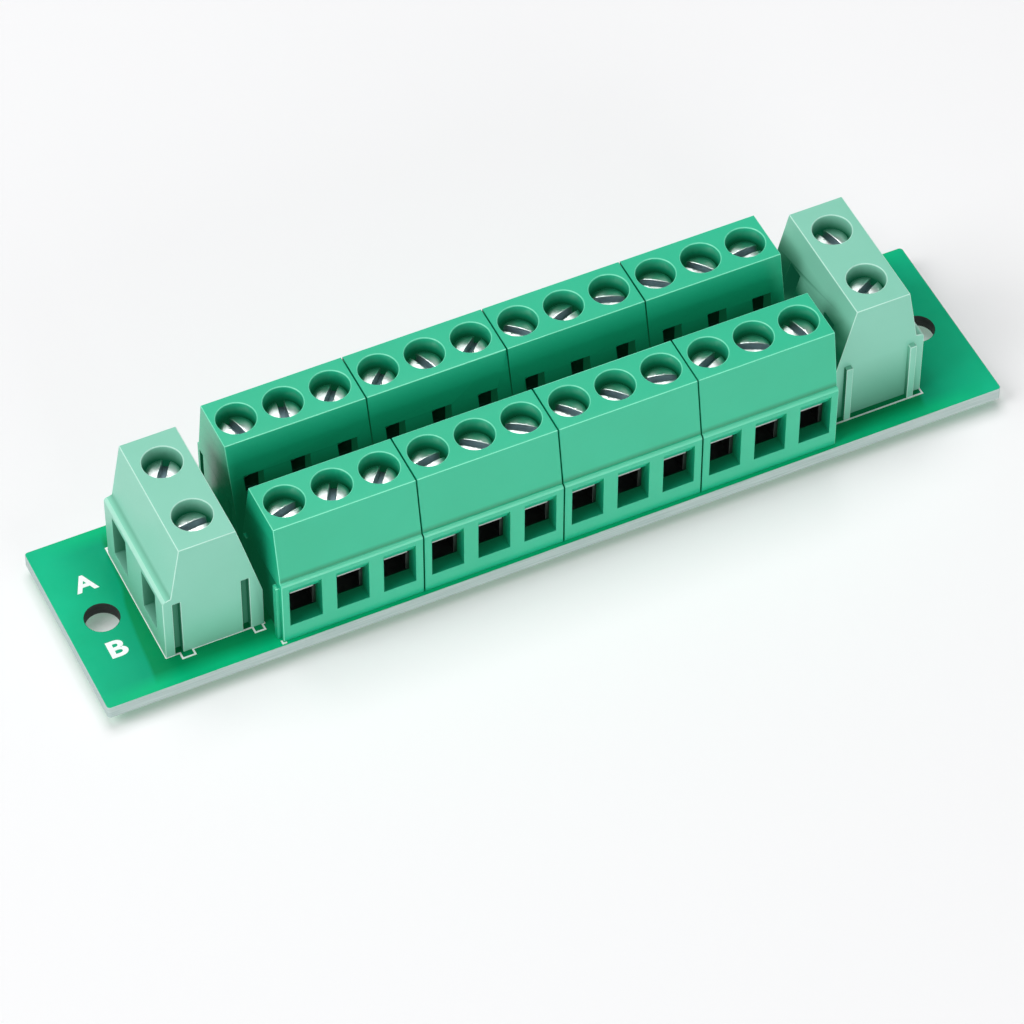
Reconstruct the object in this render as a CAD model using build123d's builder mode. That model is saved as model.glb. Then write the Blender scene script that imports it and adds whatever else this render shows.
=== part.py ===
from build123d import *
import os

# Distribution board with two rows of outlet terminal blocks and a feed block at each end.
# Millimetres. X runs along the board, +Z is up, the origin is midway between the two
# mounting holes on the board's underside.

os.makedirs("parts", exist_ok=True)

# Layout
outlet_pitch = 5.08  # pole to pole in an outlet block
outlet_poles = 3  # poles in an outlet block
outlet_blocks = 4  # blocks in each row
feed_pitch = 7.53  # pole to pole in a feed block
feed_poles = 2  # poles in a feed block
block_gap = 0.16  # seam between neighbouring blocks of a row
row_gap = 0.9  # between the backs of the two rows
feed_gap = 0.78  # from the end of a row to the back of a feed block
end_margin = 7.7  # bare board beyond each feed block
side_margin = 0.5  # bare board beyond each row

# Board
board_thickness = 1.5
board_corner_radius = 0.4
mount_hole_diameter = 3.6
mount_hole_inset = 3.95  # hole centre from the board's end
tail_hole_diameter = 1.4

# Housing side view: depths run inwards from the wire side, heights up from the board
housing_height = 15.3
back_height = 5.2  # upright part of the back
crease_height = 8.6  # where the leaning front meets the flange
flange_height = 8.45
flange_radius = 0.4
outlet_flange_step = 0.4  # flange stands this far out from the crease
feed_flange_step = 0.9
front_lean = 1.15
top_depth = 6.05
back_lean = 2.5
axis_depth = 4.2  # screw axis behind the crease

# Wire entry
entry_width = 3.5
entry_sill = 2.1
entry_rise = 5.45  # height of the mouth
lead_depth = 0.9  # sloping lead-in under the mouth's top edge
throat_drop = 1.55  # how far the lead-in comes down

# Screw well and rear window
well_diameter = 4.1
ledge_opening = 2.8  # square opening under the head
ledge_thickness = 0.8
window_width = 2.1
window_rise = 4.05
window_lift = 0.55  # window's top above the chamber roof

# Interlocking ribs and slots on the block ends
rib_width = 0.75
rib_height = 7.6
outlet_rib_reach = 0.4
feed_rib_reach = 0.55
feed_slot_reach = 0.8
front_rib_depth = 0.55  # centre behind the crease
back_rib_depth = 7.85

# Contact strip with its solder tail
strip_width = 2.6
strip_thickness = 0.8
strip_underside = 5.6
strip_nose = 3.55  # reach in front of the screw axis
tail_width = 1.0
tail_reach = 1.3  # below the board

# Rising cage
cage_width = 3.9
cage_length = 5.2
cage_front = 2.72  # front edge before the screw axis
cage_wall = 0.5
cage_crown = 1.2  # thicker top wall that holds the thread
cage_corner_bevel = 0.4
cage_travel = 2.7

# Clamp screw
thread_diameter = 2.5
head_diameter = 3.5
head_height = 2.35
slot_width = 0.8
slot_depth = 1.2

# Clearances
slide_clearance = 0.1  # cage in its chamber, each side
seat_clearance = 0.05  # screw tip and head seat, rib in slot
thread_clearance = 0.05  # screw in the cage's tapped hole, on the radius
cage_lift = 0.15  # cage crown over the strip, open
roof_clearance = 0.2  # cage crown under the chamber roof, closed

# Each screw stands as it was last turned: degrees of its slot from +X, seen from above
front_slot_turns = (15, 60, 50, 10, 140, 145, 130, 135, 165, 25, 155, 105)
back_slot_turns = (50, 80, 105, 40, 110, 45, 160, 20, 135, 5, 130, 145)
feed_slot_turns = (55, 5, 30, 105)

# Worked-out heights above the board
throat_top = entry_sill + entry_rise - throat_drop
strip_top = strip_underside + strip_thickness
crown_underside = strip_top + cage_lift
crown_top = crown_underside + cage_crown
chamber_roof = crown_top + cage_travel + roof_clearance
head_seat = chamber_roof + ledge_thickness
head_underside = head_seat + seat_clearance
head_top = head_underside + head_height
screw_tip = strip_top + seat_clearance
cage_floor = entry_sill - slide_clearance

# Worked-out depths, measured from the screw axis
chamber_front = cage_front + slide_clearance
cage_back = cage_length - cage_front
chamber_back = cage_back + slide_clearance
leg_front = chamber_back
leg_back = leg_front + strip_thickness
leg_pocket_width = strip_width + 2 * slide_clearance
tail_middle = (leg_front + leg_back) / 2
outlet_slot_reach = outlet_rib_reach - block_gap + 2 * seat_clearance

# Worked-out layout
body_depth = front_lean + top_depth + back_lean
outlet_depth = outlet_flange_step + body_depth
feed_depth = feed_flange_step + body_depth
block_step = outlet_poles * outlet_pitch + block_gap
row_length = outlet_blocks * block_step - block_gap
row_face = row_gap / 2 + outlet_depth
feed_face = row_length / 2 + feed_gap + feed_depth
board_length = 2 * (feed_face + end_margin)
board_width = 2 * (row_face + side_margin)
mount_spacing = board_length - 2 * mount_hole_inset


def pole_offsets(poles, pitch):
    """Places of a block's poles along its length."""
    return [(number - (poles - 1) / 2) * pitch for number in range(poles)]


def block_place(x, y, turn):
    """Where a block stands on the board: the middle of its wire side, turned about Z."""
    return Location((x, y, board_thickness), (0, 0, turn))


def pole_places(blocks, poles, pitch, flange_step):
    """Screw axes on the board, in the order of the blocks."""
    axis = flange_step + axis_depth
    return [block * Location((x, axis, 0)) for block in blocks for x in pole_offsets(poles, pitch)]


row_steps = [(number - (outlet_blocks - 1) / 2) * block_step for number in range(outlet_blocks)]
front_blocks = [block_place(x, -row_face, 0) for x in row_steps]
back_blocks = [block_place(x, row_face, 180) for x in row_steps]
feed_blocks = [block_place(-feed_face, 0, -90), block_place(feed_face, 0, 90)]
front_poles = pole_places(front_blocks, outlet_poles, outlet_pitch, outlet_flange_step)
back_poles = pole_places(back_blocks, outlet_poles, outlet_pitch, outlet_flange_step)
outlet_places = front_poles + back_poles
feed_places = pole_places(feed_blocks, feed_poles, feed_pitch, feed_flange_step)
all_places = outlet_places + feed_places


def housing_side(plane, flange_step):
    """Side view of a housing: flange, leaning front, flat top and sloping back."""
    depth = flange_step + body_depth
    top_front = flange_step + front_lean
    with BuildSketch(plane) as side:
        with BuildLine():
            Line((0, 0), (0, flange_height - flange_radius))
            RadiusArc(
                (0, flange_height - flange_radius),
                (flange_radius, flange_height),
                flange_radius,
            )
            Polyline(
                (flange_radius, flange_height),
                (flange_step, crease_height),
                (top_front, housing_height),
                (top_front + top_depth, housing_height),
                (depth, back_height),
                (depth, 0),
                (0, 0),
            )
        make_face()
    return side.sketch


def entry_side(plane, axis):
    """Side view of a wire entry: mouth, sloping lead-in and throat up to the chamber."""
    mouth_top = entry_sill + entry_rise
    with BuildSketch(plane) as side:
        with BuildLine():
            Polyline(
                (0, entry_sill),
                (0, mouth_top),
                (lead_depth, throat_top),
                (axis - chamber_front, throat_top),
                (axis - chamber_front, entry_sill),
                close=True,
            )
        make_face()
    return side.sketch


def make_housing(poles, pitch, flange_step, rib_reach, slot_reach):
    """A moulded block with its wire side at y = 0, facing -Y, and its foot at z = 0."""
    length = poles * pitch
    axis = flange_step + axis_depth
    window_depth = flange_step + body_depth - axis - chamber_back
    with BuildPart() as block:
        extrude(housing_side(Plane.YZ.offset(-length / 2), flange_step), amount=length)

        # Interlock: ribs on the left end, slots on the right end
        rib_depths = (flange_step + front_rib_depth, flange_step + back_rib_depth)
        with BuildSketch(Plane.XY):
            with Locations(*[(-(length + rib_reach) / 2, depth) for depth in rib_depths]):
                Rectangle(rib_reach, rib_width)
        extrude(amount=rib_height)
        with BuildSketch(Plane.XY):
            with Locations(*[((length - slot_reach) / 2, depth) for depth in rib_depths]):
                Rectangle(slot_reach, rib_width + 2 * seat_clearance)
        extrude(amount=rib_height + seat_clearance, mode=Mode.SUBTRACT)

        # Chambers, open at the foot, with a pocket for the strip's leg behind each
        with BuildSketch(Plane.XY):
            with Locations((0, axis + (chamber_back - chamber_front) / 2)):
                with GridLocations(pitch, 1, poles, 1):
                    Rectangle(cage_width + 2 * slide_clearance, chamber_front + chamber_back)
        extrude(amount=chamber_roof, mode=Mode.SUBTRACT)
        with BuildSketch(Plane.XY):
            with Locations((0, axis + chamber_back)):
                with GridLocations(pitch, 1, poles, 1):
                    Rectangle(
                        leg_pocket_width,
                        strip_thickness + slide_clearance,
                        align=(Align.CENTER, Align.MIN),
                    )
        extrude(amount=strip_top + slide_clearance, mode=Mode.SUBTRACT)

        # Pocket over the throat for the strip's nose
        with BuildSketch(Plane.XY.offset(strip_underside)):
            with Locations((0, axis - chamber_front)):
                with GridLocations(pitch, 1, poles, 1):
                    Rectangle(
                        leg_pocket_width,
                        strip_nose + seat_clearance - chamber_front,
                        align=(Align.CENTER, Align.MAX),
                    )
        extrude(amount=strip_thickness + seat_clearance, mode=Mode.SUBTRACT)

        # Screw wells with their ledges
        with BuildSketch(Plane.XY.offset(head_seat)):
            with Locations((0, axis)):
                with GridLocations(pitch, 1, poles, 1):
                    Circle(well_diameter / 2)
        extrude(amount=housing_height - head_seat, mode=Mode.SUBTRACT)
        with BuildSketch(Plane.XY.offset(chamber_roof)):
            with Locations((0, axis)):
                with GridLocations(pitch, 1, poles, 1):
                    Rectangle(ledge_opening, ledge_opening)
        extrude(amount=ledge_thickness, mode=Mode.SUBTRACT)

        # Wire entries at the front, windows in the sloping back
        for x in pole_offsets(poles, pitch):
            entry = entry_side(Plane.YZ.offset(x), axis)
            extrude(entry, amount=entry_width / 2, both=True, mode=Mode.SUBTRACT)
        with BuildSketch(Plane.XY.offset(chamber_roof + window_lift - window_rise)):
            with Locations((0, axis + chamber_back)):
                with GridLocations(pitch, 1, poles, 1):
                    Rectangle(window_width, window_depth, align=(Align.CENTER, Align.MIN))
        extrude(amount=window_rise, mode=Mode.SUBTRACT)
    return block.part


def make_contact():
    """A bent strip through the cage, its leg, and its tail through the board."""
    with BuildPart() as contact:
        with BuildSketch(Plane.YZ) as side:
            with BuildLine():
                Polyline(
                    (-strip_nose, strip_underside),
                    (-strip_nose, strip_top),
                    (leg_back, strip_top),
                    (leg_back, 0),
                    (leg_front, 0),
                    (leg_front, strip_underside),
                    close=True,
                )
            make_face()
            bend = side.vertices().group_by(Axis.Y)[-1].sort_by(Axis.X)[-1]
            chamfer(bend, strip_thickness / 2)
        extrude(amount=strip_width / 2, both=True)
        with BuildSketch(Plane.XY.offset(-board_thickness - tail_reach)):
            with Locations((0, tail_middle)):
                Rectangle(tail_width, strip_thickness)
        extrude(amount=board_thickness + tail_reach)
    return contact.part


def make_cage():
    """A folded cage round the strip, open at front and back, tapped through its crown."""
    with BuildPart() as cage:
        with BuildSketch(Plane.XZ.offset(cage_front)) as front:
            with Locations((0, cage_floor - cage_wall)):
                Rectangle(
                    cage_width,
                    crown_top - cage_floor + cage_wall,
                    align=(Align.CENTER, Align.MIN),
                )
            chamfer(front.vertices(), cage_corner_bevel)
            with Locations((0, cage_floor)):
                Rectangle(
                    cage_width - 2 * cage_wall,
                    crown_underside - cage_floor,
                    align=(Align.CENTER, Align.MIN),
                    mode=Mode.SUBTRACT,
                )
        extrude(amount=-cage_length)
        with BuildSketch(Plane.XY.offset(crown_underside)):
            Circle(thread_diameter / 2 + thread_clearance)
        extrude(amount=cage_crown, mode=Mode.SUBTRACT)
    return cage.part


def make_screw():
    """A captive clamp screw with a slotted head; its tip bears on the strip."""
    with BuildPart() as screw:
        with BuildSketch(Plane.XZ):
            with BuildLine():
                Polyline(
                    (0, screw_tip),
                    (thread_diameter / 2, screw_tip),
                    (thread_diameter / 2, head_underside),
                    (head_diameter / 2, head_underside),
                    (head_diameter / 2, head_top),
                    (0, head_top),
                    close=True,
                )
            make_face()
        revolve(axis=Axis.Z)
        with BuildSketch(Plane.XY.offset(head_top)):
            Rectangle(2 * head_diameter, slot_width)
        extrude(amount=-slot_depth, mode=Mode.SUBTRACT)
    return screw.part


def save(part, name):
    """Label a finished piece and write it."""
    part.label = name
    export_step(part, f"parts/{name}.step")


# Board with mounting holes and tail holes
with BuildPart() as circuit_board:
    with BuildSketch(Plane.XY):
        RectangleRounded(board_length, board_width, board_corner_radius)
        with GridLocations(mount_spacing, 1, 2, 1):
            Circle(mount_hole_diameter / 2, mode=Mode.SUBTRACT)
        with Locations(*[place * Location((0, tail_middle, 0)) for place in all_places]):
            Circle(tail_hole_diameter / 2, mode=Mode.SUBTRACT)
    extrude(amount=board_thickness)
save(circuit_board.part, "circuit_board")

# Housings
outlet_housing = make_housing(
    outlet_poles, outlet_pitch, outlet_flange_step, outlet_rib_reach, outlet_slot_reach
)
feed_housing = make_housing(
    feed_poles, feed_pitch, feed_flange_step, feed_rib_reach, feed_slot_reach
)
with BuildPart() as outlet_housings:
    with Locations(*front_blocks, *back_blocks):
        add(outlet_housing)
save(outlet_housings.part, "outlet_housings")
with BuildPart() as feed_housings:
    with Locations(*feed_blocks):
        add(feed_housing)
save(feed_housings.part, "feed_housings")

# Contact strips, one under each screw
contact_strip = make_contact()
with BuildPart() as contact_strips:
    with Locations(*all_places):
        add(contact_strip)
save(contact_strips.part, "contact_strips")

# A cage and a screw at each pole, numbered along the front row, the back row and the feeds
cage_master = make_cage()
screw_master = make_screw()
groups = (
    ("outlet", outlet_places, front_slot_turns + back_slot_turns),
    ("feed", feed_places, feed_slot_turns),
)
for group, places, turns in groups:
    for number, place in enumerate(places, start=1):
        with BuildPart() as cage:
            with Locations(place):
                add(cage_master)
        save(cage.part, f"{group}_cage_{number}")

        turn = turns[(number - 1) % len(turns)]
        with BuildPart() as screw:
            with Locations(Location(place.position, (0, 0, turn))):
                add(screw_master)
        save(screw.part, f"{group}_screw_{number}")
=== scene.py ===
import math
import bmesh
import bpy
from mathutils import Matrix, Vector
from mathutils.bvhtree import BVHTree


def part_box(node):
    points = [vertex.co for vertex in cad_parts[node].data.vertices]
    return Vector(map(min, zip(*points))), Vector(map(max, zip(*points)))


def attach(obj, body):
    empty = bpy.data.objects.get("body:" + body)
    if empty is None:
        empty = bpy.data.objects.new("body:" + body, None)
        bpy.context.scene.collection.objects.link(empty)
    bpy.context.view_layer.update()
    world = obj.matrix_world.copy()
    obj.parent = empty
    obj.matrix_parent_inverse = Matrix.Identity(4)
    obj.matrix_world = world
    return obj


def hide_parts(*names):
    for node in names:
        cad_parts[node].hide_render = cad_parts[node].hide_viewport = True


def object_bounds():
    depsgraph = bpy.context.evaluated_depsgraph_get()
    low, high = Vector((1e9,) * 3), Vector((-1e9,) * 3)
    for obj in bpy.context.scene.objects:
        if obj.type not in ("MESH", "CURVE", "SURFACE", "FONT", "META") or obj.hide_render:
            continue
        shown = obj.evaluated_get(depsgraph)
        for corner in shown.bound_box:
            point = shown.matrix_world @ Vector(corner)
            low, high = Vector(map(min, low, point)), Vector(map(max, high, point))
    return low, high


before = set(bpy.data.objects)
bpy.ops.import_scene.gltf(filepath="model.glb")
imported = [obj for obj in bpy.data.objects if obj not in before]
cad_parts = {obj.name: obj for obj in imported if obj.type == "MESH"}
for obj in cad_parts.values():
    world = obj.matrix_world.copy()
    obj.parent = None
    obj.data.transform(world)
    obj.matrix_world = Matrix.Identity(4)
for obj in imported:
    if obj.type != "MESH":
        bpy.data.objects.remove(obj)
cad_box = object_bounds()

MM = 0.001

slack = 0.01  # tolerance, in millimetres, where places are compared

# Board, in millimetres as in the part's source
board_top = 1.5
row_half = 30.72
outlet_face = 10.55
feed_length = 15.06
feed_depth = 10.6
feed_face = 42.10
hole_inset = 0.5  # a wall of the board further in than this is a hole's

# Tones of the board's mask, by the distance from its middle
mask_lean = -0.14  # the border of the bare end leans by this share of the way across
bare_band = (42.8, 43.2)
end_band = (44.0, 50.0)
side_band = (8.8, 10.4)

# Poles
outlet_count = 24
feed_count = 4
row_poles = 12
block_poles = 3
opening_reach = 2.1  # an entry, well or window lies this near its pole's axis

# Housing, heights above the board
flange_height = 8.45
flange_radius = 0.4
# how much a painted highlight lightens the rounded flange
flange_highlight = 0.5
crease_height = 8.6
crease_length = 3  # the crease is the level edge at its height that is at least this long
# strength of the painted shade along the crease
crease_shade_share = 0.85
crease_fade = 0.6  # how far the shade of the crease reaches up the front
shade_levels = (11.0, 13.2, 14.3)
rib_clear = 0.1  # the rib at a row's end stands out by more than this
seam_reach = 0.12  # the end of a block lies this near the middle of its seam

# Shade in hollows, by the share of the open room that a spot sees
sky_count = 32  # ways in which each spot looks
sky_needed = 0.40  # a spot that sees this much has no shade
sky_span = 0.26  # one that sees this much less has all of it
spot_inset = 0.05  # a spot lies this far in from its face's corner
spot_lift = 0.06  # and this far off the face

# Rounded edges: width, segments, and how much a painted highlight lightens them
corner_edge = (0.07, 2, 1.0)
rib_edge = (0.15, 3, 0.3)
seam_edge = (0.03, 1, 0.4)
well_edge = (0.1, 2, 0.7)
opening_edge = (0.04, 1, 0.5)
board_edge = (0.05, 1, 1.0)
metal_edge = (0.05, 1, 1.0)
slot_edge = (0.05, 2, 1.0)
narrow_share = 1.2  # a new face no wider than this many roundings is part of the edge
corner_angle = 25  # an edge that turns by more than this is a corner
stamped_angle = 30
smooth_angle = 40
look_tilts = (12, 40, 70)
look_turns = 8  # ways round at each tilt

# Clamp screw
head_diameter = 3.5
head_height = 2.35
head_sides = 40
seat_chamfer = 0.08
tip_chamfer = 0.3
dome_rise = 0.2
dome_steps = 6
rim_round = 0.1
rim_steps = 4
slot_width = 0.8
slot_depth = 1.2
slot_angle = 40
slot_rim = 0.1  # the rims of the slot reach this far below the foot of the dome
cutter_length = 6
thread_diameter = 2.5
thread_core = 2.0
thread_pitch = 0.45
thread_sink = 0.05  # how far the thread's root lies inside the core
thread_start = 0.45
thread_end = 0.5
thread_steps = 16
root_share = 0.4  # half the width of the root, in pitches
crest_share = 0.06
wall_lean = 0.1  # a face is a wall while its normal rises less than this

# White print on the board
ink_height = 0.02
ink_width = 0.2
ink_margin = 0.07
hook_reach = 0.25
bump_reach = 0.75
feed_bumps = ((1.4, 2.95), (9.2, 10.45))
letter_weight = 0.03
# Text, middle, height and width of each letter
letters = (("A", -45.75, 4.85, 2.15, 2.35), ("B", -45.95, -4.3, 2.15, 1.9))

# Solder on the tails
tail_depth = 2.98  # behind the screw axis
fillet_reach = 0.9
fillet_radius = 1.05
fillet_neck = 0.52  # radius where the solder ends on the tail
fillet_hollow = 2.2  # power of the curve from the rim to the neck
fillet_tip = 0.08
fillet_steps = 6
fillet_sides = 20

# Stage and camera
floor_reach = 3
camera_angles = (-25.2879, 49.3818, 0.1107)  # turn, tilt and roll, in degrees
camera_place = (-154.456, -325.242, 414.707)
camera_lens = 189.3287


# Materials: helpers

def node_tree(name):
    """A new material's node tree with only its output and its Principled shader."""
    material = bpy.data.materials.new(name)
    material.use_nodes = True
    tree = material.node_tree
    shader = tree.nodes["Principled BSDF"]
    return material, tree, shader


def noise(tree, scale, detail, vector):
    """A noise texture on the given coordinates."""
    texture = tree.nodes.new("ShaderNodeTexNoise")
    texture.inputs["Scale"].default_value = scale
    texture.inputs["Detail"].default_value = detail
    tree.links.new(vector, texture.inputs["Vector"])
    return texture.outputs["Fac"]


def ranged(tree, value, low, high, out_low, out_high):
    """A value carried from one range to another and held inside it."""
    node = tree.nodes.new("ShaderNodeMapRange")
    node.inputs["From Min"].default_value = low
    node.inputs["From Max"].default_value = high
    node.inputs["To Min"].default_value = out_low
    node.inputs["To Max"].default_value = out_high
    tree.links.new(value, node.inputs["Value"])
    return node.outputs["Result"]


def mixed(tree, mask, first, second):
    """One colour over another by a mask; each is a socket or a linear colour."""
    node = tree.nodes.new("ShaderNodeMix")
    node.data_type = "RGBA"
    tree.links.new(mask, node.inputs[0])
    for place, colour in ((6, first), (7, second)):
        if isinstance(colour, tuple):
            node.inputs[place].default_value = (*colour, 1.0)
        else:
            tree.links.new(colour, node.inputs[place])
    return node.outputs[2]


def maths(tree, operation, first, second):
    """A Math node; each side is a socket or a number."""
    node = tree.nodes.new("ShaderNodeMath")
    node.operation = operation
    for place, side in enumerate((first, second)):
        if isinstance(side, (int, float)):
            node.inputs[place].default_value = side
        else:
            tree.links.new(side, node.inputs[place])
    return node.outputs[0]


def bumped(tree, height, distance, strength):
    """A normal from a height."""
    node = tree.nodes.new("ShaderNodeBump")
    node.inputs["Distance"].default_value = distance
    node.inputs["Strength"].default_value = strength
    tree.links.new(height, node.inputs["Height"])
    return node.outputs["Normal"]


def linear(red, green, blue):
    """A colour of 0 to 255 as it is seen, made linear."""
    def one(value):
        value /= 255
        return value / 12.92 if value <= 0.04045 else ((value + 0.055) / 1.055) ** 2.4
    return one(red), one(green), one(blue)


# Materials: shared effects

def new_group(name, inputs, outputs):
    """A node group with the named sockets: its tree, what it takes and what it gives."""
    tree = bpy.data.node_groups.new(name, "ShaderNodeTree")
    for way, sockets in (("INPUT", inputs), ("OUTPUT", outputs)):
        for socket, kind in sockets:
            tree.interface.new_socket(name=socket, in_out=way, socket_type=kind)
    taken = tree.nodes.new("NodeGroupInput").outputs
    given = tree.nodes.new("NodeGroupOutput").inputs
    return tree, taken, given


def moulded_group():
    """Moulded plastic: flow tones, a fine grain, a painted highlight on edges, and painted shade in
    creases and hollows.
    """
    tree, taken, given = new_group(
        "moulded_look_and_painted_light",
        (
            ("Plastic", "NodeSocketColor"),
            ("Deep tone", "NodeSocketColor"),
            ("Edge highlight tone", "NodeSocketColor"),
            ("Roughness", "NodeSocketFloat"),
            ("Edges", "NodeSocketFloat"),
            ("Crease tone", "NodeSocketColor"),
            ("Crease", "NodeSocketFloat"),
            ("Hollow tone", "NodeSocketColor"),
            ("Hollow", "NodeSocketFloat"),
        ),
        (
            ("Colour", "NodeSocketColor"),
            ("Sheen off", "NodeSocketFloat"),
            ("Relief", "NodeSocketVector"),
        ),
    )
    place = tree.nodes.new("ShaderNodeTexCoord").outputs["Object"]
    flow = ranged(tree, noise(tree, 160, 3, place), 0.35, 0.7, 0, 0.55)
    fine = noise(tree, 5200, 2, place)
    tone = mixed(tree, flow, taken["Plastic"], taken["Deep tone"])
    # Painted light: a highlight on rounded edges, then painted shade in the crease and in hollows
    tone = mixed(tree, taken["Edges"], tone, taken["Edge highlight tone"])
    tone = mixed(tree, taken["Crease"], tone, taken["Crease tone"])
    tone = mixed(tree, taken["Hollow"], tone, taken["Hollow tone"])
    tree.links.new(tone, given["Colour"])
    uneven = ranged(tree, fine, 0.3, 0.7, -0.04, 0.05)
    rough = maths(tree, "ADD", taken["Roughness"], uneven)
    tree.links.new(rough, given["Sheen off"])
    tree.links.new(bumped(tree, fine, 0.00001, 0.35), given["Relief"])
    return tree


def metal_group():
    """Plated metal: cloudy tones, turning marks, fine pits and a soft dulling."""
    tree, taken, given = new_group(
        "plated_finish",
        (
            ("Bright", "NodeSocketColor"),
            ("Dull", "NodeSocketColor"),
            ("Roughness", "NodeSocketFloat"),
            ("Marks", "NodeSocketFloat"),
        ),
        (
            ("Colour", "NodeSocketColor"),
            ("Roughness out", "NodeSocketFloat"),
            ("Relief", "NodeSocketVector"),
        ),
    )
    place = tree.nodes.new("ShaderNodeTexCoord").outputs["Object"]
    cloud = ranged(tree, noise(tree, 700, 2, place), 0.35, 0.75, 0, 1)
    tree.links.new(mixed(tree, cloud, taken["Bright"], taken["Dull"]), given["Colour"])
    uneven = maths(tree, "MULTIPLY", cloud, 0.06)
    rough = maths(tree, "ADD", taken["Roughness"], uneven)
    tree.links.new(rough, given["Roughness out"])
    pits = maths(tree, "MULTIPLY", noise(tree, 5000, 2, place), 0.08)
    height = maths(tree, "ADD", taken["Marks"], pits)
    tree.links.new(bumped(tree, height, 0.0000003, 0.5), given["Relief"])
    return tree


moulded_look_and_painted_light = moulded_group()
plated_finish = metal_group()


def placed_group(tree, group):
    """A shared effect placed in a material."""
    node = tree.nodes.new("ShaderNodeGroup")
    node.node_tree = group
    return node


def moulded(name, plastic, deep, edge, crease, hollow, glow, gloss):
    """A moulded plastic in its own tones, with a faint painted glow in its hollows."""
    material, tree, shader = node_tree(name)
    surface_look = placed_group(tree, moulded_look_and_painted_light)
    for socket, tone in (
        ("Plastic", plastic),
        ("Deep tone", deep),
        ("Edge highlight tone", edge),
        ("Crease tone", crease),
        ("Hollow tone", hollow),
    ):
        surface_look.inputs[socket].default_value = (*tone, 1)
    surface_look.inputs["Roughness"].default_value = 0.36
    masks = {}
    for socket, layer in (
        ("Edges", "painted_edge_highlight"),
        ("Crease", "crease_shade"),
        ("Hollow", "hollow_shade"),
    ):
        marked = tree.nodes.new("ShaderNodeAttribute")
        marked.attribute_name = layer
        masks[socket] = marked.outputs["Fac"]
        tree.links.new(masks[socket], surface_look.inputs[socket])
    tree.links.new(surface_look.outputs["Colour"], shader.inputs["Base Color"])
    tree.links.new(surface_look.outputs["Sheen off"], shader.inputs["Roughness"])
    tree.links.new(surface_look.outputs["Relief"], shader.inputs["Normal"])
    # Painted light: the hollows glow faintly, lightening their painted shade
    light = mixed(tree, masks["Hollow"], (0, 0, 0), glow)
    tree.links.new(light, shader.inputs["Emission Color"])
    shader.inputs["Emission Strength"].default_value = 1
    # Painted shade on the sheen: reflections are turned down in hollows
    sheen = ranged(tree, masks["Hollow"], 0, 0.6, gloss, 0.05)
    tree.links.new(sheen, shader.inputs["Specular IOR Level"])
    shader.inputs["IOR"].default_value = 1.5
    return material


def plated(name, bright, dull, roughness, turned):
    """A plated metal; turned ones carry rings and a sheen that run round their own axis."""
    material, tree, shader = node_tree(name)
    surface_look = placed_group(tree, plated_finish)
    surface_look.inputs["Bright"].default_value = (*bright, 1)
    surface_look.inputs["Dull"].default_value = (*dull, 1)
    surface_look.inputs["Roughness"].default_value = roughness
    if turned:
        around = tree.nodes.new("ShaderNodeUVMap")
        around.uv_map = "turning"
        rings = tree.nodes.new("ShaderNodeTexWave")
        rings.wave_type = "BANDS"
        rings.bands_direction = "Y"
        rings.inputs["Scale"].default_value = 3.2
        tree.links.new(around.outputs["UV"], rings.inputs["Vector"])
        tree.links.new(rings.outputs["Fac"], surface_look.inputs["Marks"])
        way = tree.nodes.new("ShaderNodeTangent")
        way.direction_type = "UV_MAP"
        way.uv_map = "turning"
        tree.links.new(way.outputs["Tangent"], shader.inputs["Tangent"])
        shader.inputs["Anisotropic"].default_value = 0.7
    tree.links.new(surface_look.outputs["Colour"], shader.inputs["Base Color"])
    tree.links.new(surface_look.outputs["Roughness out"], shader.inputs["Roughness"])
    tree.links.new(surface_look.outputs["Relief"], shader.inputs["Normal"])
    shader.inputs["Metallic"].default_value = 1
    return material


def board_mask():
    """Green solder mask, lighter where no copper lies under it, over the laminate's weave."""
    material, tree, shader = node_tree("green_mask")
    place = tree.nodes.new("ShaderNodeTexCoord").outputs["Object"]
    axes = tree.nodes.new("ShaderNodeSeparateXYZ")
    tree.links.new(place, axes.inputs[0])
    wander = ranged(tree, noise(tree, 130, 1, place), 0, 1, -0.0008, 0.0008)
    side = maths(tree, "SIGN", axes.outputs["X"], 0)
    lean = maths(tree, "MULTIPLY", maths(tree, "MULTIPLY", axes.outputs["Y"], side), mask_lean)
    distance = maths(tree, "ADD", maths(tree, "ABSOLUTE", axes.outputs["X"], 0), lean)
    along = maths(tree, "ADD", distance, wander)
    across = maths(tree, "ABSOLUTE", axes.outputs["Y"], 0)
    bare = ranged(tree, along, bare_band[0] * MM, bare_band[1] * MM, 0, 1)
    end = ranged(tree, along, end_band[0] * MM, end_band[1] * MM, 0, 1)
    rim = ranged(tree, across, side_band[0] * MM, side_band[1] * MM, 0, 1)
    tone = mixed(tree, bare, linear(0, 144, 88), linear(4, 164, 122))
    tone = mixed(tree, rim, tone, linear(0, 192, 130))
    tone = mixed(tree, end, tone, linear(22, 194, 144))
    cloud = ranged(tree, noise(tree, 240, 3, place), 0.3, 0.8, 0, 0.25)
    tone = mixed(tree, cloud, tone, linear(0, 152, 100))
    tree.links.new(tone, shader.inputs["Base Color"])
    weave = tree.nodes.new("ShaderNodeTexBrick")
    weave.inputs["Scale"].default_value = 900
    weave.inputs["Mortar Size"].default_value = 0.08
    weave.inputs["Mortar Smooth"].default_value = 1
    tree.links.new(place, weave.inputs["Vector"])
    tree.links.new(bumped(tree, weave.outputs["Fac"], 0.000004, 0.35), shader.inputs["Normal"])
    rough = ranged(tree, noise(tree, 1500, 2, place), 0.3, 0.7, 0.28, 0.36)
    tree.links.new(rough, shader.inputs["Roughness"])
    shader.inputs["Specular IOR Level"].default_value = 0.12
    return material


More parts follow.
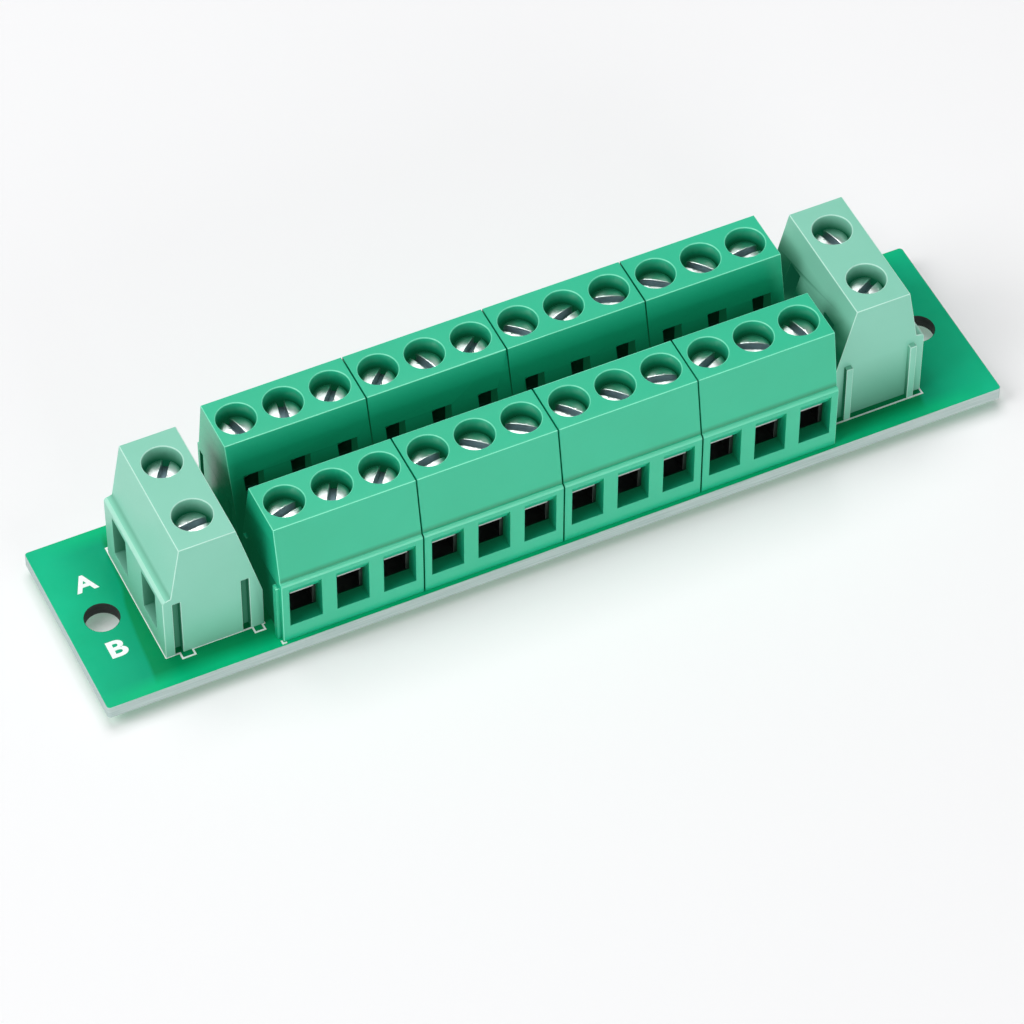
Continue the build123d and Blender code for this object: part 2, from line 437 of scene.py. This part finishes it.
def laminate(name, pale, fibre):
    """Sawn laminate edge: thin fibre layers in pale resin."""
    material, tree, shader = node_tree(name)
    place = tree.nodes.new("ShaderNodeTexCoord").outputs["Object"]
    layers = tree.nodes.new("ShaderNodeMapping")
    layers.inputs["Scale"].default_value = (1, 1, 40)
    tree.links.new(place, layers.inputs["Vector"])
    streak = ranged(tree, noise(tree, 220, 3, layers.outputs[0]), 0.35, 0.7, 0, 1)
    tree.links.new(mixed(tree, streak, pale, fibre), shader.inputs["Base Color"])
    tree.links.new(bumped(tree, streak, 0.00001, 0.4), shader.inputs["Normal"])
    rough = ranged(tree, streak, 0, 1, 0.55, 0.7)
    tree.links.new(rough, shader.inputs["Roughness"])
    return material


def printed_ink():
    """White legend ink, a little uneven."""
    material, tree, shader = node_tree("white_ink")
    place = tree.nodes.new("ShaderNodeTexCoord").outputs["Object"]
    patch = ranged(tree, noise(tree, 2600, 3, place), 0.35, 0.75, 0, 1)
    tone = mixed(tree, patch, linear(255, 255, 255), linear(240, 248, 246))
    tree.links.new(tone, shader.inputs["Base Color"])
    tree.links.new(ranged(tree, patch, 0, 1, 0.5, 0.65), shader.inputs["Roughness"])
    tree.links.new(bumped(tree, patch, 0.000005, 0.4), shader.inputs["Normal"])
    return material


# edge is a painted highlight, crease and hollow are painted shade, glow is a painted light in
# hollows
outlet_plastic = moulded(
    "outlet_green",
    plastic=(0.012, 0.555, 0.308),
    deep=(0.008, 0.515, 0.276),
    edge=linear(128, 240, 202),
    crease=linear(12, 138, 94),
    hollow=linear(0, 38, 18),
    glow=linear(5, 60, 36),
    gloss=0.75,
)
feed_plastic = moulded(
    "feed_mint",
    plastic=(0.265, 0.672, 0.512),
    deep=(0.235, 0.640, 0.475),
    edge=linear(200, 244, 228),
    crease=linear(112, 186, 158),
    hollow=linear(4, 70, 44),
    glow=linear(10, 66, 45),
    gloss=0.5,
)
zinc_screw = plated("zinc_screw", (0.82, 0.88, 0.86), (0.72, 0.79, 0.77), 0.3, True)
# a darker metal for the slot: painted shade
slot_painted_shade = plated("slot_painted_shade", (0.19, 0.26, 0.31), (0.15, 0.21, 0.25), 0.4, False)
nickel_cage = plated("nickel_cage", (0.16, 0.16, 0.16), (0.10, 0.10, 0.10), 0.4, False)
tinned_strip = plated("tinned_strip", (0.52, 0.54, 0.53), (0.44, 0.46, 0.45), 0.34, False)
solder = plated("solder", (0.83, 0.84, 0.85), (0.66, 0.67, 0.69), 0.24, False)
green_mask = board_mask()
pale_laminate = laminate("pale_laminate", linear(190, 207, 204), linear(168, 190, 186))
# near-black laminate for the hole walls: painted shade
hole_wall_painted_shade = laminate("hole_wall_painted_shade", linear(30, 36, 34), linear(18, 21, 20))
white_ink = printed_ink()


# Meshes: helpers

def clean_copy(node):
    """A CAD node's mesh with its doubles merged and its flat areas made whole."""
    shape = bmesh.new()
    shape.from_mesh(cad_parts[node].data)
    bmesh.ops.remove_doubles(shape, verts=shape.verts, dist=0.0001 * MM)
    bmesh.ops.dissolve_limit(
        shape, angle_limit=math.radians(1), verts=shape.verts, edges=shape.edges
    )
    shape.normal_update()
    return shape


look_ways = [
    Vector((math.cos(turn) * math.cos(tilt), math.sin(turn) * math.cos(tilt), math.sin(tilt)))
    for tilt in (math.radians(angle) for angle in look_tilts)
    for turn in (math.radians(360 * (step + 0.5) / look_turns) for step in range(look_turns))
]


def seen_edges(shape):
    """Outward corners that can be seen from somewhere above."""
    tree = BVHTree.FromBMesh(shape)
    chosen = []
    for edge in shape.edges:
        if len(edge.link_faces) != 2 or not edge.is_convex:
            continue
        if edge.calc_face_angle(0) < math.radians(corner_angle):
            continue
        outward = (edge.link_faces[0].normal + edge.link_faces[1].normal).normalized()
        middle = (edge.verts[0].co + edge.verts[1].co) / 2 + outward * 2 * slack * MM
        for way in look_ways:
            if way.dot(outward) > -0.5 and tree.ray_cast(middle, way)[0] is None:
                chosen.append(edge)
                break
    return chosen


def round_edges(shape, edges, size, segments, highlight_share):
    """Rounds the edges that are still there, and marks the narrow new faces for a painted highlight.
    """
    masks = shape.faces.layers.float
    mask = masks.get("painted_edge_highlight") or masks.new("painted_edge_highlight")
    made = bmesh.ops.bevel(
        shape,
        geom=[edge for edge in edges if edge.is_valid],
        offset=size * MM,
        offset_type="OFFSET",
        affect="EDGES",
        segments=segments,
        profile=0.5,
        material=-1,
        clamp_overlap=False,
    )
    for face in made["faces"]:
        longest = max(edge.calc_length() for edge in face.edges)
        if face.calc_area() < narrow_share * size * MM * longest:
            face[mask] = highlight_share


def finished(shape, name, materials):
    """A piece from its bmesh, smooth over its rounded edges and crisp elsewhere."""
    mesh = bpy.data.meshes.new(name)
    shape.to_mesh(mesh)
    shape.free()
    mesh.polygons.foreach_set("use_smooth", [True] * len(mesh.polygons))
    mesh.set_sharp_from_angle(angle=math.radians(smooth_angle))
    for material in materials:
        mesh.materials.append(material)
    piece = bpy.data.objects.new(name, mesh)
    bpy.context.scene.collection.objects.link(piece)
    even = piece.modifiers.new("even_shading", "WEIGHTED_NORMAL")
    even.keep_sharp = True
    return piece


def evaluated_mesh(holder):
    """An object's mesh as its modifiers or its curve make it."""
    bpy.context.view_layer.update()
    made = holder.evaluated_get(bpy.context.evaluated_depsgraph_get())
    return bpy.data.meshes.new_from_object(made)


# Poles

outlet_poles = ["outlet_%s_" + str(number + 1) for number in range(outlet_count)]
feed_poles = ["feed_%s_" + str(number + 1) for number in range(feed_count)]
pole_names = outlet_poles + feed_poles


def pole_axis(pole):
    """Middle of a pole's screw, seen from above, in metres."""
    low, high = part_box(pole % "screw")
    return (low + high) / 2


# Housings

def cut_levels(shape):
    """Cuts every face at a few heights, so that shades can follow the depth."""
    for height in (crease_height + crease_fade, *shade_levels):
        bmesh.ops.bisect_plane(
            shape,
            geom=[*shape.verts, *shape.edges, *shape.faces],
            plane_co=(0, 0, (board_top + height) * MM),
            plane_no=(0, 0, 1),
        )


def shade_crease(shape):
    """Marks the rounded flange for a painted highlight, and a soft painted shade where the leaning
    front meets it.
    """
    rounded = shape.faces.layers.float["painted_edge_highlight"]
    for face in shape.faces:
        height = face.calc_center_median().z / MM - board_top
        on_flange = flange_height - flange_radius < height < flange_height
        if on_flange and 0.1 < face.normal.z < 0.98:
            face[rounded] = flange_highlight
    crease = (board_top + crease_height) * MM
    shade = shape.loops.layers.float.new("crease_shade")
    for edge in shape.edges:
        level = all(abs(vertex.co.z - crease) <= slack * MM for vertex in edge.verts)
        if edge.calc_length() < crease_length * MM or not level:
            continue
        for face in edge.link_faces:
            for loop in face.loops:
                if loop.vert in edge.verts:
                    loop[shade] = crease_shade_share


def all_surfaces():
    """Every CAD node's surface in one search tree."""
    places, corners = [], []
    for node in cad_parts.values():
        start = len(places)
        places += [vertex.co.copy() for vertex in node.data.vertices]
        corners += [[start + number for number in face.vertices] for face in node.data.polygons]
    return BVHTree.FromPolygons(places, corners)


surfaces = all_surfaces()
sky_ways = []
for number in range(sky_count):
    away = math.sqrt((number + 0.5) / sky_count)
    turn = number * math.pi * (3 - math.sqrt(5))
    rise = math.sqrt(1 - away ** 2)
    sky_ways.append(Vector((away * math.cos(turn), away * math.sin(turn), rise)))


def shade_hollows(shape):
    """Marks each face corner by how little of the open room it sees."""
    shade = shape.loops.layers.float.new("hollow_shade")
    for face in shape.faces:
        facing = face.normal.to_track_quat("Z", "Y").to_matrix()
        ways = [facing @ way for way in sky_ways]
        for loop in face.loops:
            away = loop.calc_tangent() * spot_inset + face.normal * spot_lift
            spot = loop.vert.co + away * MM
            seen = sum(surfaces.ray_cast(spot, way)[0] is None for way in ways) / sky_count
            loop[shade] = min(1.0, max(0.0, (sky_needed - seen) / sky_span))


def of_opening(edge, poles, across):
    """Whether an edge is part of one pole's own entry, well or window."""
    return any(
        all(abs(vertex.co[across] - pole[across]) < opening_reach * MM for vertex in edge.verts)
        for pole in poles
    )


def of_end_rib(edge):
    """Whether an edge runs round the face of a rib that stands clear at a row's end."""
    return all(abs(vertex.co.x) > (row_half + rib_clear) * MM for vertex in edge.verts)


def at_seam(edge, seams):
    """Whether an edge runs round the end of a block where the next one stands close."""
    return any(
        all(abs(vertex.co.x - seam) < seam_reach * MM for vertex in edge.verts)
        for seam in seams
    )


def edge_kind(edge, places, across, seams, top):
    """What a corner of a housing belongs to; each kind is rounded in its own way."""
    if of_opening(edge, places, across):
        on_top = all(vertex.co.z > top - slack * MM for vertex in edge.verts)
        return "well" if on_top else "opening"
    if seams and of_end_rib(edge):
        return "rib"
    return "seam" if at_seam(edge, seams) else "corner"


def housings(group, poles, across, seams, material):
    """Moulded blocks with rounded corners, rims and mouths."""
    node = group + "_housings"
    shape = clean_copy(node)
    places = [pole_axis(pole) for pole in poles]
    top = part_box(node)[1].z
    kinds = {"corner": [], "rib": [], "seam": [], "well": [], "opening": []}
    for edge in seen_edges(shape):
        kinds[edge_kind(edge, places, across, seams, top)].append(edge)
    round_edges(shape, kinds["corner"], *corner_edge)
    round_edges(shape, kinds["rib"], *rib_edge)
    # The outline of a block's end runs over the rounded corners, so it is looked for after them
    ends = [edge for edge in seen_edges(shape) if at_seam(edge, seams)]
    round_edges(shape, ends, *seam_edge)
    round_edges(shape, kinds["well"], *well_edge)
    round_edges(shape, kinds["opening"], *opening_edge)
    for vertex in shape.verts:
        vertex.co.z = min(vertex.co.z, top)  # a rounded corner can stand a hair proud
    cut_levels(shape)
    shade_crease(shape)
    shade_hollows(shape)
    piece = finished(shape, group + "_blocks", [material])
    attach(piece, "base")
    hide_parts(node)


row_seams = [
    (pole_axis(outlet_poles[number - 1]).x + pole_axis(outlet_poles[number]).x) / 2
    for number in range(block_poles, row_poles, block_poles)
]
housings("outlet", outlet_poles, 0, row_seams, outlet_plastic)
housings("feed", feed_poles, 1, [], feed_plastic)


# Board

def board():
    """The board with sawn edges, hole walls darkened as painted shade, and a masked top and
    underside.
    """
    shape = clean_copy("circuit_board")
    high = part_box("circuit_board")[1]
    round_edges(shape, seen_edges(shape), *board_edge)
    inner_x = high.x - hole_inset * MM
    inner_y = high.y - hole_inset * MM
    for face in shape.faces:
        middle = face.calc_center_median()
        if abs(face.normal.z) > 0.9:
            face.material_index = 0
        elif abs(middle.x) < inner_x and abs(middle.y) < inner_y:
            face.material_index = 2
        else:
            face.material_index = 1
    piece = finished(shape, "printed_board", [green_mask, pale_laminate, hole_wall_painted_shade])
    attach(piece, "base")
    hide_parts("circuit_board")


board()


# White print

def printed_area(shape, corners):
    """A flat face on the board's top from its corners in millimetres."""
    return shape.faces.new([shape.verts.new((x * MM, y * MM, board_top * MM)) for x, y in corners])


def placed(corners, x, y, turn):
    """Corners turned by an angle in degrees, then moved."""
    turned = Matrix.Rotation(math.radians(turn), 2)
    return [turned @ Vector(corner) + Vector((x, y)) for corner in corners]


def ring(shape, corners):
    """A closed printed line: an area, inset by the line's width, with its middle taken out."""
    area = printed_area(shape, corners)
    shape.normal_update()
    bmesh.ops.inset_region(
        shape, faces=[area], thickness=ink_width * MM, use_even_offset=True, use_boundary=True
    )
    bmesh.ops.delete(shape, geom=[area], context="FACES")


def hook(shape, x, y, turn):
    """The corner of a row's outline that shows beside its rib."""
    outer = -ink_margin - ink_width
    inner = -ink_margin
    corners = [(outer, outer), (hook_reach, outer), (hook_reach, inner)]
    corners += [(inner, inner), (inner, hook_reach), (outer, hook_reach)]
    printed_area(shape, placed(corners, x, y, turn))


def footprint(x, turn):
    """A feed block's outline on the board, with bumps for its neighbour's ribs."""
    half = feed_length / 2 + ink_margin
    reach = half + bump_reach
    back = feed_depth + ink_margin
    rib_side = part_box("feed_housings")[1].y / MM + ink_margin + ink_width / 2
    corners = [(-rib_side, -ink_margin), (half, -ink_margin)]
    for low, high in feed_bumps:
        corners += [(half, low), (reach, low), (reach, high), (half, high)]
    corners += [(half, back), (-rib_side, back)]
    return placed(corners, x, 0, turn)


def letter(shape, text, x, y, height, width):
    """A bold letter lying on the board, made from the built-in typeface."""
    curve = bpy.data.curves.new("letter_" + text, "FONT")
    curve.body = text
    curve.offset = letter_weight
    holder = bpy.data.objects.new("letter_" + text, curve)
    bpy.context.scene.collection.objects.link(holder)
    mesh = evaluated_mesh(holder)
    for axis, middle, size in ((0, x, width), (1, y, height)):
        low = min(vertex.co[axis] for vertex in mesh.vertices)
        high = max(vertex.co[axis] for vertex in mesh.vertices)
        for vertex in mesh.vertices:
            share = (vertex.co[axis] - low) / (high - low) - 0.5
            vertex.co[axis] = share * size * MM + middle * MM
    for vertex in mesh.vertices:
        vertex.co.z = board_top * MM
    before = set(shape.verts)
    shape.from_mesh(mesh)
    fresh = [vertex for vertex in shape.verts if vertex not in before]
    bmesh.ops.remove_doubles(shape, verts=fresh, dist=0.001 * MM)
    bpy.data.objects.remove(holder)
    bpy.data.curves.remove(curve)
    bpy.data.meshes.remove(mesh)


def print_on_board():
    """Block outlines and the two circuit letters, as a thin raised layer of ink."""
    shape = bmesh.new()
    hook(shape, -row_half, -outlet_face, 0)
    hook(shape, row_half, outlet_face, 180)
    ring(shape, footprint(-feed_face, -90))
    ring(shape, footprint(feed_face, 90))
    for text, x, y, height, width in letters:
        letter(shape, text, x, y, height, width)
    for face in shape.faces:
        if face.normal.z < 0:
            face.normal_flip()
    layer = bmesh.ops.extrude_face_region(shape, geom=list(shape.faces))
    risen = [element for element in layer["geom"] if isinstance(element, bmesh.types.BMVert)]
    bmesh.ops.translate(shape, verts=risen, vec=(0, 0, ink_height * MM))
    bmesh.ops.recalc_face_normals(shape, faces=shape.faces)
    piece = finished(shape, "white_print", [white_ink])
    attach(piece, "base")


print_on_board()


# Contacts and solder

def contacts():
    """The strips with softened stamped edges."""
    shape = clean_copy("contact_strips")
    sharp = [
        edge
        for edge in shape.edges
        if edge.calc_face_angle(0) > math.radians(stamped_angle)
    ]
    round_edges(shape, sharp, *metal_edge)
    piece = finished(shape, "contact_bars", [tinned_strip])
    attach(piece, "base")
    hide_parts("contact_strips")


contacts()


def tail_place(pole):
    """Middle of a pole's solder tail: behind the screw, whose cage stands nearer the wire."""
    axis = pole_axis(pole)
    low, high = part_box(pole % "cage")
    inward = axis - (low + high) / 2
    inward.z = 0
    return axis + inward.normalized() * tail_depth * MM


def lathe(shape, outline, steps):
    """Turns an outline of radius and height in millimetres about the Z axis."""
    verts = [shape.verts.new((radius * MM, 0, height * MM)) for radius, height in outline]
    edges = [shape.edges.new(pair) for pair in zip(verts, verts[1:])]
    bmesh.ops.spin(
        shape,
        geom=verts + edges,
        cent=(0, 0, 0),
        axis=(0, 0, 1),
        angle=math.tau,
        steps=steps,
        use_merge=True,
    )


def close_turned(shape):
    """Joins what the lathe left doubled, and turns every face outward."""
    bmesh.ops.remove_doubles(shape, verts=shape.verts, dist=0.0005 * MM)
    bmesh.ops.recalc_face_normals(shape, faces=shape.faces)


def fillet_outline():
    """Half section of a fillet: flat on the board, hollow down to the tail, a blunt tip."""
    outline = [(0, 0)]
    for step in range(fillet_steps + 1):
        share = step / fillet_steps
        radius = fillet_neck + (fillet_radius - fillet_neck) * (1 - share) ** fillet_hollow
        outline.append((radius, -share * fillet_reach))
    outline.append((0, -(fillet_reach + fillet_tip)))
    return outline


def solder_fillets():
    """A concave cone of solder round each tail on the underside."""
    shape = bmesh.new()
    for pole in pole_names:
        middle = tail_place(pole)
        lathe(shape, fillet_outline(), fillet_sides)
        fresh = [vertex for vertex in shape.verts if not vertex.tag]
        bmesh.ops.translate(shape, verts=fresh, vec=(middle.x, middle.y, 0))
        for vertex in shape.verts:
            vertex.tag = True
    close_turned(shape)
    piece = finished(shape, "solder_fillets", [solder])
    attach(piece, "base")


solder_fillets()


# Screws

def head_outline(bottom, top):
    """Half section of the head and core: chamfered tip, core, flat seat, rounded rim, dome."""
    radius = head_diameter / 2
    core = thread_core / 2
    rim = top - dome_rise
    seat = top - head_height
    outline = [(0, bottom), (core - tip_chamfer, bottom), (core, bottom + tip_chamfer)]
    outline += [(core, seat), (radius - seat_chamfer, seat), (radius, seat + seat_chamfer)]
    outline.append((radius, rim - rim_round))
    for step in range(1, rim_steps):
        turn = math.radians(90 * step / rim_steps)
        inward = rim_round * (1 - math.cos(turn))
        below = rim_round * (1 - math.sin(turn))
        outline.append((radius - inward, rim - below))
    ball = (radius ** 2 + dome_rise ** 2) / (2 * dome_rise)
    for step in range(1, dome_steps + 1):
        out = (radius - rim_round) * (1 - step / dome_steps)
        outline.append((out, top - ball + math.sqrt(ball ** 2 - out ** 2)))
    return outline


def lay_turning(shape):
    """A UV map that runs round the Z axis, with the radius in millimetres across it."""
    around = shape.loops.layers.uv.new("turning")
    for face in shape.faces:
        middle = face.calc_center_median()
        facing = Matrix.Rotation(-math.atan2(middle.y, middle.x), 2)
        for loop in face.loops:
            spot = facing @ loop.vert.co.xy
            turn = math.atan2(spot.y, spot.x) if spot.length > slack * MM else 0.0
            loop[around].uv = (turn, spot.length / MM)


def cut_slot(shape, top):
    """The head with its slot cut along X by a long block; the shape given is used up."""
    body = finished(shape, "screw_body", [zinc_screw])
    body.modifiers.clear()
    block = bmesh.new()
    bmesh.ops.create_cube(block, size=1)
    size = (cutter_length * MM, slot_width * MM, 2 * slot_depth * MM)
    bmesh.ops.scale(block, verts=block.verts, vec=size)
    bmesh.ops.translate(block, verts=block.verts, vec=(0, 0, top * MM))
    cutter = finished(block, "slot_cutter", [zinc_screw])
    cut = body.modifiers.new("slot", "BOOLEAN")
    cut.object = cutter
    cut.solver = "EXACT"
    mesh = evaluated_mesh(body)
    for spent in (body, cutter):
        bpy.data.objects.remove(spent)
    slotted = bmesh.new()
    slotted.from_mesh(mesh)
    bpy.data.meshes.remove(mesh)
    bmesh.ops.remove_doubles(slotted, verts=slotted.verts, dist=0.001 * MM)
    bmesh.ops.dissolve_limit(
        slotted, angle_limit=math.radians(0.5), verts=slotted.verts, edges=slotted.edges
    )
    return slotted


def slot_rims(shape, top):
    """The upper edges of the slot's two walls."""
    side = slot_width / 2 * MM
    foot = (top - dome_rise - slot_rim) * MM
    return [
        edge
        for edge in shape.edges
        if edge.is_convex
        and edge.calc_face_angle(0) > math.radians(slot_angle)
        and all(abs(abs(vertex.co.y) - side) < 2 * slack * MM for vertex in edge.verts)
        and all(vertex.co.z > foot for vertex in edge.verts)
    ]


def wind_thread(shape, bottom, top):
    """A blunt triangle wound round the core in whole turns."""
    core = thread_core / 2 - thread_sink
    crest = thread_diameter / 2
    rise = bottom + thread_start
    turns = int((top - head_height - rise - thread_end) / thread_pitch)
    corners = (
        (core, -root_share),
        (crest, -crest_share),
        (crest, crest_share),
        (core, root_share),
    )
    start = [
        shape.verts.new((radius * MM, 0, (rise + share * thread_pitch) * MM))
        for radius, share in corners
    ]
    section = shape.faces.new(start)
    bmesh.ops.spin(
        shape,
        geom=[*start, *section.edges, section],
        cent=(0, 0, 0),
        axis=(0, 0, 1),
        dvec=(0, 0, thread_pitch / thread_steps * MM),
        angle=math.tau * turns,
        steps=thread_steps * turns,
    )
    bmesh.ops.recalc_face_normals(shape, faces=shape.faces)


def master_screw(bottom, top):
    """One screw standing on the Z axis with its slot along X."""
    blank = bmesh.new()
    lathe(blank, head_outline(bottom, top), head_sides)
    close_turned(blank)
    shape = cut_slot(blank, top)
    round_edges(shape, slot_rims(shape, top), *slot_edge)
    wind_thread(shape, bottom, top)
    lay_turning(shape)
    # The slot's floor and walls take the darker metal: painted shade
    for face in shape.faces:
        middle = face.calc_center_median() / MM
        between = abs(middle.y) < slot_width / 2 + slack
        if between and top - slot_depth - slack < middle.z < top - dome_rise - slot_rim:
            face.material_index = 1
    return shape


def slot_turn(node, axis):
    """Which way a screw's slot points, from the walls of the slot in its CAD node."""
    nearest, turn = 1.0, 0.0
    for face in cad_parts[node].data.polygons:
        normal = face.normal
        if abs(normal.z) > wall_lean:
            continue
        away = abs((face.center - axis).xy.dot(normal.xy))
        if away < nearest:
            nearest, turn = away, math.atan2(normal.y, normal.x) - math.pi / 2
    return turn


def screws():
    """Every clamp screw, turned as its slot stands."""
    low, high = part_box("outlet_screw_1")
    master = master_screw(low.z / MM, high.z / MM)
    for pole in pole_names:
        axis = pole_axis(pole)
        shape = master.copy()
        facing = Matrix.Rotation(slot_turn(pole % "screw", axis), 3, "Z")
        bmesh.ops.rotate(shape, verts=shape.verts, cent=(0, 0, 0), matrix=facing)
        bmesh.ops.translate(shape, verts=shape.verts, vec=(axis.x, axis.y, 0))
        piece = finished(shape, "clamp_" + pole % "screw", [zinc_screw, slot_painted_shade])
        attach(piece, pole % "screw")
        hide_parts(pole % "screw")
    master.free()


def cages():
    """Every rising cage, with its outward corners softened."""
    for pole in pole_names:
        node = pole % "cage"
        shape = clean_copy(node)
        sharp = [
            edge
            for edge in shape.edges
            if edge.is_convex and edge.calc_face_angle(0) > math.radians(corner_angle)
        ]
        round_edges(shape, sharp, *metal_edge)
        piece = finished(shape, "rising_" + node, [nickel_cage])
        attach(piece, node)
        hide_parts(node)


screws()
cages()


# Stage, light and camera

def floor():
    """A pale floor just under the tails, with a glow of its own that keeps shadows soft."""
    shape = bmesh.new()
    bmesh.ops.create_grid(shape, x_segments=1, y_segments=1, size=floor_reach)
    bmesh.ops.translate(shape, verts=shape.verts, vec=(0, 0, cad_box[0].z))
    material, _, shader = node_tree("pale_floor")
    shader.inputs["Base Color"].default_value = (0.78, 0.78, 0.79, 1)
    shader.inputs["Roughness"].default_value = 0.9
    shader.inputs["Specular IOR Level"].default_value = 0.1
    shader.inputs["Emission Color"].default_value = (1, 1, 1, 1)
    shader.inputs["Emission Strength"].default_value = 0.2
    piece = finished(shape, "floor", [material])
    piece.modifiers.clear()


def soft_light(name, place, aim, size, power):
    """A square soft lamp that points at a place near the board."""
    lamp = bpy.data.lights.new(name, "AREA")
    lamp.shape = "SQUARE"
    lamp.size = size
    lamp.energy = power
    holder = bpy.data.objects.new(name, lamp)
    holder.location = place
    holder.rotation_mode = "QUATERNION"
    holder.rotation_quaternion = (Vector(aim) - Vector(place)).to_track_quat("-Z", "Y")
    bpy.context.scene.collection.objects.link(holder)


def studio():
    """A pale room, a large lamp to the left, one above and a weak one in front."""
    world = bpy.data.worlds.new("pale_room")
    world.use_nodes = True
    room = world.node_tree.nodes["Background"]
    room.inputs["Color"].default_value = (1, 1, 1, 1)
    room.inputs["Strength"].default_value = 0.14
    bpy.context.scene.world = world
    soft_light("left_lamp", (-1.0, -0.04, 1.0), (0, 0, 0), 0.8, 11.2)
    soft_light("top_lamp", (0.0, 0.2, 0.7), (0, 0, 0), 0.4, 2.4)
    soft_light("front_lamp", (0.05, -0.75, 0.16), (0, 0, 0.005), 0.4, 2.2)


def aim_camera():
    """The camera at the photograph's angle."""
    turn, tilt, roll = (math.radians(angle) for angle in camera_angles)
    flat = math.cos(tilt)
    back = Vector((math.sin(turn) * flat, -math.cos(turn) * flat, math.sin(tilt)))
    level = Vector((0, 0, 1)).cross(back).normalized()
    upright = back.cross(level)
    right = math.cos(roll) * level + math.sin(roll) * upright
    up = -math.sin(roll) * level + math.cos(roll) * upright
    lens = bpy.data.cameras.new("camera")
    lens.lens = camera_lens
    lens.sensor_width = 36
    lens.clip_start = 0.01
    lens.clip_end = 20
    holder = bpy.data.objects.new("camera", lens)
    facing = Matrix((right, up, back)).transposed().to_4x4()
    holder.matrix_world = Matrix.Translation(Vector(camera_place) * MM) @ facing
    bpy.context.scene.collection.objects.link(holder)
    bpy.context.scene.camera = holder


floor()
studio()
aim_camera()
bpy.context.scene.view_settings.view_transform = "Standard"
